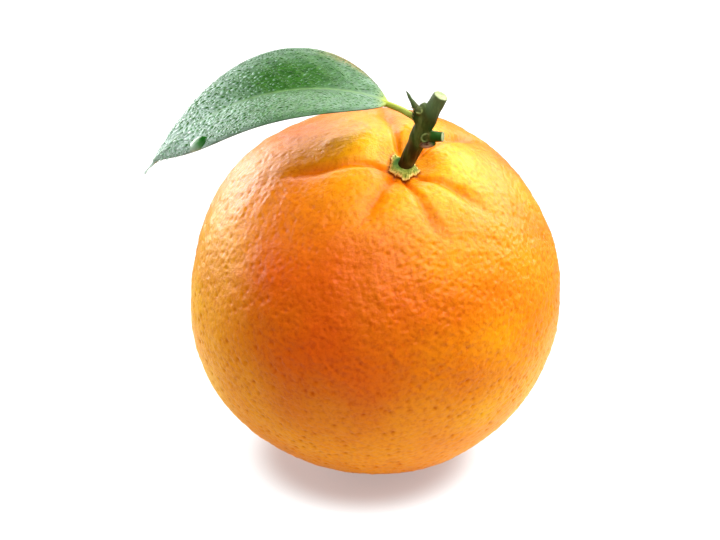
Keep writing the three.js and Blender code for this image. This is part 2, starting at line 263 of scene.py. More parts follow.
# A mesh from points in millimetres, with one number per point for each named value, as a piece
# of the part
def new_piece(name, points, faces, values, material, nodes=()):
    mesh = bpy.data.meshes.new(name)
    mesh.from_pydata((np.asarray(points) * MM).tolist(), [], np.asarray(faces).tolist())
    for key, value in values.items():
        attribute = mesh.attributes.new(key, "FLOAT", "POINT")
        attribute.data.foreach_set("value", np.asarray(value, np.float32))
    mesh.shade_smooth()
    mesh.materials.append(material)
    piece = bpy.data.objects.new(name, mesh)
    bpy.context.collection.objects.link(piece)
    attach(piece, "root")
    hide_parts(*nodes)
    return piece


# Materials
class Shader:
    def __init__(self, name, **sockets):
        self.material = bpy.data.materials.new(name)
        self.material.use_nodes = True
        self.nodes = self.material.node_tree.nodes
        self.links = self.material.node_tree.links
        self.bsdf = self.nodes["Principled BSDF"]
        for key, value in sockets.items():
            self.bsdf.inputs[key.replace("_", " ")].default_value = value

    def node(self, kind, **settings):
        made = self.nodes.new(kind)
        for key, value in settings.items():
            setattr(made, key, value)
        return made

    def value(self, name):
        return self.node("ShaderNodeAttribute", attribute_name=name).outputs["Fac"]

    def noise(self, scale, detail=2.0, roughness=0.5, stretch=None):
        place = self.nodes.new("ShaderNodeTexCoord").outputs["Object"]
        if stretch:
            mapping = self.nodes.new("ShaderNodeMapping")
            mapping.inputs["Scale"].default_value = stretch
            self.links.new(place, mapping.inputs["Vector"])
            place = mapping.outputs["Vector"]
        noise = self.nodes.new("ShaderNodeTexNoise")
        noise.inputs["Scale"].default_value = scale
        noise.inputs["Detail"].default_value = detail
        noise.inputs["Roughness"].default_value = roughness
        self.links.new(place, noise.inputs["Vector"])
        return noise.outputs["Fac"]

    def ramp(self, source, stops):
        ramp = self.nodes.new("ShaderNodeValToRGB")
        while len(ramp.color_ramp.elements) < len(stops):
            ramp.color_ramp.elements.new(0.5)
        for element, (at, colour) in zip(ramp.color_ramp.elements, stops):
            element.position = at
            element.color = (*linear(colour), 1)
        self.links.new(source, ramp.inputs["Fac"])
        return ramp.outputs["Color"]

    def mix(self, factor, a, b, kind="MIX"):
        # for colours, this node's sockets 0, 6 and 7 are its factor and its two inputs
        mix = self.node("ShaderNodeMix", data_type="RGBA", blend_type=kind)
        for socket, source in zip((mix.inputs[0], mix.inputs[6], mix.inputs[7]), (factor, a, b)):
            if isinstance(source, bpy.types.NodeSocket):
                self.links.new(source, socket)
            elif isinstance(source, tuple):
                socket.default_value = (*linear(source), 1)
            else:
                socket.default_value = source
        return mix.outputs[2]

    def maths(self, operation, a, b):
        node = self.node("ShaderNodeMath", operation=operation)
        for socket, source in zip(node.inputs, (a, b)):
            if isinstance(source, bpy.types.NodeSocket):
                self.links.new(source, socket)
            else:
                socket.default_value = source
        return node.outputs[0]

    def rise(self, source, low, high):
        rise = self.node("ShaderNodeMapRange", interpolation_type="SMOOTHERSTEP")
        rise.inputs["From Min"].default_value = low
        rise.inputs["From Max"].default_value = high
        self.links.new(source, rise.inputs["Value"])
        return rise.outputs["Result"]

    def colour(self, source):
        self.links.new(source, self.bsdf.inputs["Base Color"])

    def bump(self, *heights):
        normal = None
        for height, distance in heights:
            bump = self.nodes.new("ShaderNodeBump")
            bump.inputs["Distance"].default_value = distance * MM
            self.links.new(height, bump.inputs["Height"])
            if normal:
                self.links.new(normal, bump.inputs["Normal"])
            normal = bump.outputs["Normal"]
        self.links.new(normal, self.bsdf.inputs["Normal"])


# A colour on the screen's scale of 0 to 255, as linear light
def linear(colour):
    c = np.asarray(colour, float) / 255
    light = np.where(c <= 0.04045, c / 12.92, ((c + 0.055) / 1.055) ** 2.4)
    return tuple(float(x) for x in light)


# The peel's colour from its deepest orange to its yellowest, along a value that holds painted light and
# shade
PEEL_TONES = [
    (0.0, (218, 90, 3)),
    (0.35, (219, 114, 4)),
    (0.65, (233, 145, 7)),
    (0.88, (243, 168, 10)),
    (1.0, (246, 190, 15)),
]
PEEL_GRAIN = [(0.36, (232, 196, 150)), (0.5, (250, 246, 240)), (0.62, (255, 255, 255))]
PEEL_GLOSS = 0.18


def peel_material():
    s = Shader("peel", Roughness=0.28)
    # the peel's colour, with painted light and shade from the value it follows
    tone_with_painted_light = s.ramp(s.value("tone_with_painted_light"), PEEL_TONES)
    patches = s.ramp(s.noise(260, 3, 0.6), [(0.35, (0, 0, 0)), (0.7, (90, 90, 90))])
    mottled = s.mix(patches, tone_with_painted_light, (238, 100, 4))
    grained = s.mix(0.7, mottled, s.ramp(s.noise(1200, 3, 0.7), PEEL_GRAIN), "MULTIPLY")
    # painted shade in the oil pits, and the dark scar at the far end
    pit_shaded = s.mix(s.maths("MULTIPLY", s.value("pit"), 0.6), grained, (176, 52, 2))
    # painted shade in the dark band round the button
    s.colour(s.mix(s.maths("MULTIPLY", s.value("crease_shade"), 0.85), pit_shaded, (104, 34, 2)))
    gloss = s.maths("MULTIPLY", s.maths("SUBTRACT", 1.0, s.value("pit")), PEEL_GLOSS)
    s.links.new(gloss, s.bsdf.inputs["Specular IOR Level"])
    s.bump((s.noise(1500, 3, 0.7), 0.18), (s.noise(620, 2, 0.5), 0.05))
    return s.material


# How far the button's ragged edge reaches from its middle, round the stem
def button_reach(angle):
    reach = np.full(len(angle), CALYX_RADIUS)
    for at, out in CALYX_LOBES:
        reach += out * bell(wrapped(angle - at) / 21)
    return reach + 0.11 * np.sin(angle * RAD * 19) + 0.09 * np.sin(angle * RAD * 31 + 1)


# Directions from the fruit's middle, denser round the stem and in the furrows, a little uneven
def peel_grid(rng):
    unit_points, faces = geodesic(PEEL_FREQUENCY)
    turn = Vector((0, 0, 1)).rotation_difference(Vector(POLE))
    dirs = unit_points @ np.array(turn.to_matrix()).T
    theta, phi = angles_of(dirs)
    theta = theta - STEM_CROWDING * np.sin(theta * RAD)
    for furrow in FURROWS:
        s = furrow_offset(furrow, theta, phi)
        pull = smooth(theta, 5, 9) * (1 - smooth(theta, furrow[3] - 6, furrow[3] + 6))
        closer = s * (1 - FURROW_CROWDING * pull * np.clip(1 - np.abs(s) / 4, 0, 1))
        circle = FRUIT_RADIUS * np.sin(np.maximum(theta, 0.5) * RAD)
        phi = phi + np.degrees((closer - s) / circle)
    dirs = directions_of(theta, phi)
    return unit(dirs + rng.normal(size=dirs.shape) * GRID_JITTER), faces


# Oil pits: for each point how far it lies in a pit, how far in the shallow dish round it, and
# that pit's own depth
def oil_pits(dirs, theta, rng):
    at = dirs * FRUIT_RADIUS
    low = 1 - smooth(at[:, 2], -25, 22)
    upper_left = smooth(dirs[:, 2] - dirs[:, 0], 0.3, 1.1)
    gap = (PIT_GAP + 0.3 * low + 0.2 * upper_left) * rng.uniform(0.65, 1.5, len(dirs))
    pits = spread_out(at, gap, 6)
    depth = rng.uniform(0.3, 1.0, len(pits)) ** 1.6
    which, away = nearest(at, at[pits])
    near_stem = smooth(theta, 7, 15)
    size = PIT_SIZE + 0.16 * depth[which] + 0.05 * upper_left
    pit = bell(away / size) * depth[which] * near_stem
    dish = bell(away / DISH_SIZE) * depth[which] * near_stem
    return pit, dish, depth[which]


# Painted light and shade in the peel's colour, with a little random variation: deeper orange on the dim
# front, in the furrows and at the back; yellower where light falls on the lobes, left, right and below
def peel_tone_with_painted_light(dirs, theta, phi):
    x, y, z = dirs.T
    tone_with_painted_light = 0.5 + 0.5 * bell((theta - 13) / 17)
    tone_with_painted_light -= 0.5 * bell(np.degrees(np.arccos(dirs @ PAINTED_SHADE_SIDE)) / 34)
    tone_with_painted_light += 0.42 * smooth(-x, 0.45, 0.85) * (1 - 0.6 * smooth(-z, 0, 0.35))
    tone_with_painted_light += 0.3 * smooth(-z, -0.1, 0.4) + 0.12 * smooth(x, 0.3, 0.7) * (1 - smooth(z, 0, 0.5))
    tone_with_painted_light += 0.05 * ripples(dirs * FRUIT_RADIUS, 14, 21) - 0.25 * furrow_cut(theta, phi, 1.1)
    return np.clip(tone_with_painted_light - 0.3 * smooth(y, 0.0, 0.75), 0, 1)


# Painted shade: a dark band on the peel round the button's edge, where the button presses on it
def button_crease_shade(dirs, theta):
    from_middle = dirs - BUTTON_MIDDLE
    reach = button_reach(np.degrees(np.arctan2(from_middle @ E2, from_middle @ E1)))
    beside = np.arccos(np.clip(dirs @ BUTTON_MIDDLE, -1, 1)) * CREASE_LEVEL - reach
    return bell(beside / 0.55) * (theta < 12)


# Painted shade in the oil pits, darker low on the fruit and on the side away from the light, and the dark
# scar underneath
def pit_painted_shade(dirs, theta, pit, depth):
    low = smooth(0.35 - dirs[:, 2], 0, 0.5)
    crisp = 0.45 + 0.55 * smooth(depth, 0.55, 0.95) * low
    # painted shade: darker on the side turned away from the light
    shaded = 0.4 + 0.6 * smooth(-(dirs @ unit([0.5, 0.2, 0.84])), -0.6, 0.3)
    end_scar = bell((180 - theta) / 3.2)
    return np.clip(pit * crisp * shaded + 0.9 * end_scar, 0, 1)


# Three skins with one common normal along their seams, so that each stays light
def add_skins(points, faces, values):
    whole = bpy.data.meshes.new("whole")
    whole.from_pydata(points.tolist(), [], faces.tolist())
    normals = np.empty(len(points) * 3, np.float32)
    whole.vertex_normals.foreach_get("vector", normals)
    normals = normals.reshape(-1, 3)
    bpy.data.meshes.remove(whole)
    bearing = np.degrees(np.arctan2(*points[faces].mean(1)[:, 1::-1].T))
    skin_of = (bearing // (360 / PEEL_SKINS)).astype(int) % PEEL_SKINS
    material = peel_material()
    for k in range(PEEL_SKINS):
        used, local = np.unique(faces[skin_of == k], return_inverse=True)
        own = {key: value[used] for key, value in values.items()}
        corners = local.reshape(-1, 3)
        skin = new_piece(f"peel_{k + 1}", points[used], corners, own, material, ["fruit"])
        skin.data.normals_split_custom_set_from_vertices(normals[used].tolist())


def fruit():
    rng = np.random.default_rng(5)
    dirs, faces = peel_grid(rng)
    theta, phi = angles_of(dirs)
    pit, dish, depth = oil_pits(dirs, theta, rng)
    # pits are shallower towards the top
    softer = 1 - 0.6 * smooth(dirs[:, 2], 0.62, 0.92)
    r = peel_radius(dirs) + fine_relief(dirs) - softer * (PIT_DEPTH * pit + DISH_DEPTH * dish)
    points = dirs * r[:, None] + CENTRE
    points[:, 2] = np.maximum(points[:, 2], LOWEST)
    values = {
        # painted light and shade in the peel's colour, and painted shade in the pits and round the button
        "tone_with_painted_light": peel_tone_with_painted_light(dirs, theta, phi),
        "pit": pit_painted_shade(dirs, theta, pit, depth),
        "crease_shade": button_crease_shade(dirs, theta),
    }
    add_skins(points, faces, values)


fruit()


# A smooth curve through points
def path_through(points, count):
    p = np.asarray(points, float)
    ghost = np.vstack([2 * p[0] - p[1], p, 2 * p[-1] - p[-2]])
    t = np.linspace(0, len(p) - 1, count)
    k = np.minimum(t.astype(int), len(p) - 2)
    f = (t - k)[:, None]
    a, b, c, d = ghost[k], ghost[k + 1], ghost[k + 2], ghost[k + 3]
    bend = (2 * a - 5 * b + 4 * c - d) * f**2 + (3 * b - a - 3 * c + d) * f**3
    return 0.5 * (2 * b + (c - a) * f + bend)


# A closed round rod along a curve, its radius given at stops from 0 to 1 along it
def rod(points, stops, sides, steps):
    line = path_through(points, steps + 1)
    along = unit(np.gradient(line, axis=0))
    reference = unit([0.2, -1, 0.1])
    side = unit(reference - along * (along @ reference)[:, None])
    other = np.cross(side, along)
    t = np.linspace(0, 1, steps + 1)
    radius = np.interp(t, *zip(*stops))
    turn = np.arange(sides) * 2 * math.pi / sides
    ring = np.cos(turn)[None, :, None] * side[:, None, :]
    ring = ring + np.sin(turn)[None, :, None] * other[:, None, :]
    shell = (line[:, None, :] + ring * radius[:, None, None]).reshape(-1, 3)
    count = len(shell)
    points = np.vstack([shell, line[:1], line[-1:]])
    faces = []
    for i in range(steps):
        for j in range(sides):
            a, b = i * sides + j, i * sides + (j + 1) % sides
            faces += [(a, a + sides, b + sides), (a, b + sides, b)]
    for j in range(sides):
        k = (j + 1) % sides
        faces += [(count, j, k), (count + 1, steps * sides + k, steps * sides + j)]
    return points, np.array(faces)


# An egg shape with three half sizes, turned about X, Y and Z in radians
def blob(centre, size, turn=(0, 0, 0)):
    ball = bmesh.new()
    bmesh.ops.create_icosphere(ball, subdivisions=4, radius=1)
    points = np.array([v.co[:] for v in ball.verts]) * size
    faces = np.array([[v.index for v in f.verts] for f in ball.faces])
    ball.free()
    matrix = Matrix.Identity(3)
    for axis, angle in zip("XYZ", turn):
        matrix = Matrix.Rotation(angle, 3, axis) @ matrix
    return points @ np.array(matrix).T + centre, faces


def joined(parts):
    points, faces, count = [], [], 0
    for p, f in parts:
        points.append(p)
        faces.append(f + count)
        count += len(p)
    return np.vstack(points), np.vstack(faces)


# One skin over several overlapping forms, by a voxel remesh
def fused(parts, voxel):
    points, faces = joined(parts)
    mesh = bpy.data.meshes.new("fusing")
    mesh.from_pydata(points.tolist(), [], faces.tolist())
    thing = bpy.data.objects.new("fusing", mesh)
    bpy.context.collection.objects.link(thing)
    remesh = thing.modifiers.new("remesh", "REMESH")
    remesh.mode = "VOXEL"
    remesh.voxel_size = voxel
    relax = thing.modifiers.new("relax", "SMOOTH")
    relax.factor = 0.5
    relax.iterations = 4
    ready = thing.evaluated_get(bpy.context.evaluated_depsgraph_get()).to_mesh()
    points = np.array([v.co[:] for v in ready.vertices])
    faces = np.array([p.vertices[:] for p in ready.polygons])
    normals = np.array([v.normal[:] for v in ready.vertices])
    bpy.data.objects.remove(thing)
    bpy.data.meshes.remove(mesh)
    return points, faces, normals


# Twig
TWIG_BASE = POLE * TWIG_FOOT + CENTRE
TWIG_AXIS = [
    TWIG_BASE,
    (7.0, -11.6, 75.3),
    (8.45, -12.3, 79.4),
    (10.0, -13.1, 83.1),
    (12.0, -13.75, 87.2),
]
TWIG_WIDTHS = [(0, 0.93), (0.12, 0.95), (0.42, 1.1), (0.62, 1.14), (0.8, 0.95), (1, 0.84)]
STUB_AXIS = [(8.4, -12.4, 78.6), (10.4, -13.4, 78.6), (12.55, -14.25, 78.75)]
THORN_AXIS = [(8.9, -13.1, 82.6), (7.5, -12.75, 83.9), (6.3, -12.0, 85.6), (5.35, -11.5, 87.2)]
NODE = np.array([8.05, -12.6, 82.0])
KNOB = np.array([8.75, -13.2, 84.6])
SCAR = np.array([8.95, -13.95, 78.6])
SCAR_RING = 0.78
BRACT = np.array([9.6, -13.6, 76.8])
BUD = np.array([7.95, -13.65, 83.9])
CRESCENT = np.array([7.75, -14.25, 84.25])
CRESCENT_RADIUS = 0.55
SKIN_VOXEL = 0.1
# Each bristle: how high its foot is, how far it reaches to the left and how far it rises
BRISTLES = [(82.2, 1.25, 0.9), (83.0, 1.5, 1.0), (83.6, 1.1, 1.1), (81.5, 0.9, 0.5)]


def twig_material():
    s = Shader("twig", Roughness=0.55, Specular_IOR_Level=0.12)
    streaks = s.noise(420, 4, 0.65, stretch=(1, 1, 0.35))
    green = s.ramp(streaks, [(0.3, (26, 40, 8)), (0.5, (58, 78, 24)), (0.72, (104, 122, 60))])
    brown = s.ramp(streaks, [(0.3, (34, 18, 2)), (0.52, (70, 46, 8)), (0.75, (112, 84, 26))])
    lower = s.mix(s.value("brown"), green, brown)
    bark = s.mix(s.value("upper"), lower, (122, 140, 100))
    fresh = s.mix(s.value("fresh"), bark, (34, 74, 14))
    papery = [(0.4, (92, 52, 22)), (0.5, (168, 128, 98)), (0.7, (190, 156, 128))]
    dry = s.ramp(s.noise(700, 3, 0.6), papery)
    scaly = s.mix(s.value("bract"), fresh, dry)
    scarred = s.mix(s.value("scar"), scaly, (138, 148, 84))
    wood = s.ramp(s.noise(1400, 2), [(0.35, (130, 142, 92)), (0.65, (172, 180, 134))])
    s.colour(s.mix(s.value("cut"), scarred, wood))
    s.bump((s.noise(900, 3, 0.6, stretch=(1, 1, 0.4)), 0.12))
    return s.material


# Points of a part circle that faces the viewer
def arc(centre, radius, start, end, count):
    a = np.linspace(start, end, count) * RAD
    return centre + radius * np.stack([np.cos(a), 0.35 * np.cos(a), np.sin(a)], 1)


# Short dry bristles beside the leaf's node
def bristles():
    s = Shader("bristle", Roughness=0.7, Specular_IOR_Level=0.2)
    s.bsdf.inputs["Base Color"].default_value = (*linear((138, 112, 66)), 1)
    for k, (height, reach, rise) in enumerate(BRISTLES):
        foot = np.array([7.3, -13.2, height])
        tip = foot + [-reach, -0.2, rise]
        line = [foot, (foot + tip) / 2 + [0, 0, 0.1], tip]
        points, faces = rod(line, [(0, 0.13), (1, 0.04)], 8, 8)
        new_piece(f"bristle_{k + 1}", points, faces, {}, s.material, ["stem"])


# The bark's ridges, which stop at the cut faces
def bark_relief(points):
    fine = 0.025 * ripples(points * [1, 1, 0.35], 0.9, 31)
    return fine + 0.05 * ripples(points * [1, 1, 0.5], 2.2, 32)


def twig():
    main = rod(TWIG_AXIS, [(t, w * TWIG_RADIUS) for t, w in TWIG_WIDTHS], 64, 90)
    thorn = rod(THORN_AXIS, [(0, 1.05), (0.35, 0.72), (0.7, 0.38), (1, 0.13)], 28, 40)
    stub = rod(STUB_AXIS, [(0, 1.2), (0.5, 1.08), (1, 0.98)], 40, 20)
    node = blob(NODE, (1.4, 1.25, 2.1), (0, -0.35, 0))
    bud = blob(BUD, (0.8, 0.7, 1.0))
    knob = blob(KNOB, (0.85, 0.75, 0.85))
    scar = blob(SCAR, (0.85, 0.55, 0.95))
    bract = blob(BRACT, (1.6, 0.65, 0.65), (0.3, -0.3, -0.2))
    crescent_points = arc(CRESCENT, CRESCENT_RADIUS, 190, 360, 14)
    crescent = rod(crescent_points, [(0, 0.1), (0.5, 0.19), (1, 0.1)], 12, 30)
    ring_points = arc(SCAR + [0.1, -0.45, 0], SCAR_RING, 40, 330, 20)
    ring = rod(ring_points, [(0, 0.12), (0.5, 0.18), (1, 0.12)], 12, 40)
    forms = [main, thorn, stub, node, bud, knob, scar, bract, crescent, ring]
    points, faces, normals = fused(forms, SKIN_VOXEL)
    top = np.array(TWIG_AXIS[-1])
    top_way = unit(top - TWIG_AXIS[-2])
    stub_end = np.array(STUB_AXIS[-1])
    stub_way = unit(stub_end - STUB_AXIS[-2])
    from_stub_end = np.linalg.norm(points - stub_end, axis=1)
    on_top = smooth((points - top) @ top_way, -0.16, -0.04)
    on_stub = smooth((points - stub_end) @ stub_way, -0.2, -0.05) * (from_stub_end < 1.4)
    cut = np.maximum(on_top, on_stub)
    points = points + normals * (bark_relief(points) * (1 - cut))[:, None]
    height = (points - TWIG_BASE) @ unit(top - TWIG_BASE)
    low = 1 - smooth(height, 2.0, 9.0)
    on_node = smooth(-points[:, 0], -10.0, -8.8) * smooth(points[:, 0], 6.6, 7.4)
    near_node = bell((height - 13.2) / 1.4) * 0.7 * on_node
    by_stub = 0.8 * bell(np.linalg.norm(points - [9.8, -13.9, 79.0], axis=1) / 1.0)
    patches = 0.25 * ripples(points, 4.0, 33)
    on_stub_shaft = np.linalg.norm(points - stub_end, axis=1) < 3
    from_bract = np.linalg.norm((points - BRACT) / (1.5, 0.8, 0.8), axis=1)
    on_ring = smooth(-nearest(points, ring_points)[1], -0.32, -0.15) * 0.5
    on_crescent = smooth(-nearest(points, crescent_points)[1], -0.3, -0.15)
    values = {
        "cut": cut,
        "brown": np.clip(0.85 * low + near_node + by_stub + patches, 0, 1),
        "upper": 0.32 * smooth(height, 12.0, 15.5),
        "fresh": smooth((points - STUB_AXIS[1]) @ stub_way, -0.4, 0.5) * on_stub_shaft,
        "bract": smooth(-from_bract, -1.25, -0.8),
        "scar": np.maximum(on_ring * smooth(-points[:, 0], -9.6, -8.8), on_crescent),
    }
    new_piece("twig", points, faces, values, twig_material(), ["stem"])


twig()
bristles()


# Button under the twig
def calyx_material():
    s = Shader("calyx", Roughness=0.7, Specular_IOR_Level=0.35)
    fibre = s.noise(1500, 3, 0.65)
    green = s.ramp(fibre, [(0.3, (92, 106, 22)), (0.5, (150, 156, 52)), (0.7, (206, 202, 104))])
    ringed = s.mix(s.value("deep"), green, (58, 104, 30))
    s.colour(s.mix(s.value("edge"), ringed, (224, 194, 104)))
    s.bump((fibre, 0.16))
    return s.material


# A ragged disc bent over the peel, closed underneath
def calyx():
    rings, spokes = 40, 160
    angle = np.arange(spokes) * 360 / spokes
    reach = button_reach(angle)
    ring = np.linspace(0.02, 1, rings)
    out = ring[:, None] * reach[None, :]
    flat = np.cos(angle * RAD)[:, None] * E1 + np.sin(angle * RAD)[:, None] * E2
    dirs = unit((BUTTON_MIDDLE * BUTTON_LEVEL + out[:, :, None] * flat[None]).reshape(-1, 3))
    out = out.ravel()
    rim = np.repeat(ring, spokes)
    # the lobes' edges curl up a little, and fibres run out along them
    curl = 0.18 * smooth(out, 2.1, 3.5) + 0.1 * smooth(rim, 0.7, 1.0)
    waves = np.sin(np.tile(angle, rings) * RAD * 31 + 2 * np.sin(out * 2.2))
    fibre = 0.07 * waves * smooth(out, 0.8, 1.8)
    hump = 0.2 * bell((out - 1.9) / 0.4)
    thick = CALYX_THICKNESS - 0.5 * smooth(out, 1.8, 3.0) - 0.25 * smooth(rim, 0.8, 1)
    ground = peel_radius(dirs)
    top = dirs * (ground + 0.1 + curl + thick + fibre + hump)[:, None] + CENTRE
    under = dirs * (ground + 0.02 + curl)[:, None] + CENTRE
    points = np.vstack([top, under])
    faces = []
    half = rings * spokes
    for i in range(rings - 1):
        for j in range(spokes):
            a, b = i * spokes + j, i * spokes + (j + 1) % spokes
            faces.append((a, a + spokes, b + spokes, b))
            faces.append((half + a, half + b, half + b + spokes, half + a + spokes))
    for j in range(spokes):
        k = (j + 1) % spokes
        last = (rings - 1) * spokes
        faces.append((last + j, half + last + j, half + last + k, last + k))
        faces.append((j, k, half + k, half + j))
    # its dry edge, and the deeper green round the twig, most of all behind it
    behind = 0.6 + 0.4 * np.cos((np.tile(angle, rings) - 125) * RAD)
    edge = smooth(rim, 0.84, 0.98)
    deep = behind * (1 - smooth(out, 1.6, 2.8))
    values = {"edge": np.tile(edge, 2), "deep": np.tile(deep, 2)}
    new_piece("button", points, faces, values, calyx_material(), ["calyx"])


calyx()


# Leaf
MIDRIB = np.array([(1.8, -5.7, 82.1), (-13.9, -4.8, 88.3), (-33.4, -5.0, 82.6), (-44.2, -5.6, 69.6)])
STALK_AXIS = [(7.6, -12.4, 82.0), (6.2, -11.2, 82.1), (4.6, -9.0, 82.15), (2.3, -6.5, 82.1)]
STALK_WIDTHS = [(0, 1.25), (0.25, 1.05), (0.5, 1.0), (0.8, 1.0), (1, 0.8)]
THREAD_AXIS = [(-44.5, -5.8, 69.1), (-45.4, -6.2, 68.3), (-46.1, -6.6, 67.4)]


def bezier(t):
    t = np.asarray(t, float)[..., None]
    a, b, c, d = MIDRIB
    return (1 - t) ** 3 * a + 3 * (1 - t) ** 2 * t * b + 3 * (1 - t) * t**2 * c + t**3 * d


def bezier_way(t):
    t = np.asarray(t, float)[..., None]
    a, b, c, d = MIDRIB
    return unit((1 - t) ** 2 * (b - a) + 2 * (1 - t) * t * (c - b) + t**2 * (d - c))


FINE_T = np.linspace(0, 1, 2001)
FINE_LINE = bezier(FINE_T)
FINE_LENGTH = np.r_[0, np.cumsum(np.linalg.norm(np.diff(FINE_LINE, axis=0), axis=1))]


def along_midrib(u):
    return np.interp(u, FINE_LENGTH / FINE_LENGTH[-1], FINE_T)


# Half the leaf's width at a share u of its length
def leaf_width(u):
    p, q = 0.636, 1.009
    peak = p / (p + q)
    full = peak**p * (1 - peak) ** q
    u = np.clip(u, 0, 1)
    return np.maximum(0.5, LEAF_HALF_WIDTH * u**p * (1 - u) ** q / full)


# A point of the leaf's middle surface: u runs from the stalk to the tip, v from edge to edge
def leaf_point(u, v):
    t = along_midrib(u)
    way = bezier_way(t)
    side = unit(np.cross(way, UP))
    up = np.cross(side, way)
    # how far the blade rolls to one side and how far its halves fold up, in radians
    roll = -0.02 + 1.067 * u - 1.868 * u**2 + 1.326 * u**3
    fold = 0.073 + 0.552 * u - 0.663 * u**2 - 0.33 * u**3
    tilt = np.where(v >= 0, roll + fold, fold - roll)
    across = np.abs(v)
    reach = leaf_width(u) * across
    swell = 0.5 * np.sin(math.pi * across) * np.sin(math.pi * u)
    waves = np.cos(2 * math.pi * (VEINS * u - VEIN_SLANT * across))
    veins = 0.06 * waves * np.sin(math.pi * across)
    lift = swell + veins * smooth(u, 0.04, 0.15) * (1 - smooth(u, 0.85, 0.97))
    sideways = np.sign(v) * reach * np.cos(tilt)
    upward = reach * np.sin(tilt) + lift
    return bezier(t) + side * sideways[..., None] + up * upward[..., None]


def leaf_normal(u, v):
    d = 0.004
    a = leaf_point(np.clip(u + d, 0, 1), v) - leaf_point(np.clip(u - d, 0, 1), v)
    b = leaf_point(u, np.clip(v + 0.02, -1, 1)) - leaf_point(u, np.clip(v - 0.02, -1, 1))
    return unit(np.cross(b, a))


# The side veins, staggered on the two halves
def vein_pattern(u, v):
    across = np.abs(v)
    s = VEINS * u - VEIN_SLANT * across**1.15 + np.where(v > 0, 0.0, 0.35)
    line = bell((s - np.round(s)) / (0.07 + 0.05 * across))
    inside = smooth(across, 0.02, 0.1) * (1 - smooth(across, 0.75, 0.97))
    return line * inside * smooth(u, 0.03, 0.1)


def leaf_material():
    s = Shader("leaf", Roughness=0.5, Specular_IOR_Level=0.15)
    grain = s.noise(900, 3, 0.6)
    green = s.ramp(grain, [(0.3, (24, 66, 8)), (0.5, (38, 86, 16)), (0.72, (58, 108, 34))])
    blots = s.noise(380, 4, 0.7, stretch=(0.6, 1, 1.4))
    blotches = s.ramp(blots, [(0.38, (160, 160, 160)), (0.58, (255, 255, 255))])
    misty = s.mix(s.maths("MULTIPLY", s.value("bloom"), blotches), green, (184, 208, 196))
    veined = s.mix(s.maths("MULTIPLY", s.value("vein"), 0.2), misty, (96, 132, 66))
    ribbed = s.mix(s.value("rib"), veined, (112, 146, 84))
    rusty = s.mix(s.value("rust"), ribbed, (150, 112, 44))
    s.colour(s.mix(s.value("stalk"), rusty, (160, 170, 62)))
    s.bump((s.noise(1100, 2, 0.5), 0.08))
    return s.material


# Misty grey towards the tip and along both edges, where the dew is densest
def leaf_bloom(u, v):
    bloom = 0.12 + 0.74 * smooth(u, 0.4, 0.95) + 0.1 * smooth(0.25 - u, 0, 0.25)
    bloom = bloom - 0.2 * bell((u - 0.42) / 0.22) * bell((v - 0.3) / 0.35)
    bloom = bloom + 0.12 * bell((u - 0.45) / 0.3) * smooth(v, 0.5, 1)
    return np.clip(1.3 * bloom, 0, 1)


# Quads of the leaf's two faces and its rim; the points under it follow those on top
def leaf_faces(steps, columns):
    count = (steps + 1) * columns
    i, j = [g.ravel() for g in np.meshgrid(range(steps), range(columns - 1), indexing="ij")]
    a = i * columns + j
    top = np.stack([a, a + 1, a + columns + 1, a + columns], 1)
    under = np.stack([a, a + columns, a + columns + 1, a + 1], 1) + count
    near = np.arange(steps) * columns
    near_rim = np.stack([near + count, near, near + columns, near + columns + count], 1)
    far = near + columns - 1
    far_rim = np.stack([far, far + count, far + columns + count, far + columns], 1)
    c = np.arange(columns - 1)
    start = np.stack([c, c + count, c + 1 + count, c + 1], 1)
    e = c + steps * columns
    end = np.stack([e, e + 1, e + 1 + count, e + count], 1)
    return np.vstack([top, under, near_rim, far_rim, start, end])


def leaf_blade(material):
    steps, half = 260, 44
    columns = 2 * half + 1
    lengthwise = np.linspace(0, 1, steps + 1)
    u, v = np.meshgrid(lengthwise, np.linspace(-1, 1, columns), indexing="ij")
    v = np.sign(v) * np.abs(v) ** 1.25
    u, v = u.ravel(), v.ravel()
    middle = leaf_point(u, v)
    normal = leaf_normal(u, v)
    away = leaf_width(u) * np.abs(v)
    rib = bell(away / 0.8) * (1 - 0.75 * u)
    line = bell(away / (0.42 - 0.2 * u))
    veins = vein_pattern(u, v)
    skin = LEAF_THICKNESS / 2 * (1 - 0.55 * smooth(np.abs(v), 0.85, 1))
    top = middle + normal * (skin + 0.1 * rib + 0.06 * line - 0.04 * veins)[:, None]
    under = middle - normal * (MIDRIB_DEPTH * rib + skin + 0.1 * veins)[:, None]
    values = {
        "bloom": leaf_bloom(u, v),
        "vein": veins,
        "rib": 0.65 * line * (1 - 0.5 * u),
        "rust": 0.7 * bell((u - 0.16) / 0.09) * smooth(v, 0.72, 0.98),
        "stalk": 0.8 * bell(u / 0.03),
    }
    both = {key: np.tile(value, 2) for key, value in values.items()}
    points = np.vstack([top, under])
    new_piece("leaf_blade", points, leaf_faces(steps, columns), both, material, ["leaf"])


# A plain rod of the leaf's material, the same all over
def leaf_rod(name, line, stops, sides, steps, material, bloom, stalk):
    points, faces = rod(line, stops, sides, steps)
    shares = {"bloom": bloom, "vein": 0, "rib": 0, "stalk": stalk}
    values = {key: np.full(len(points), share) for key, share in shares.items()}
    new_piece(name, points, faces, values, material, ["leaf"])


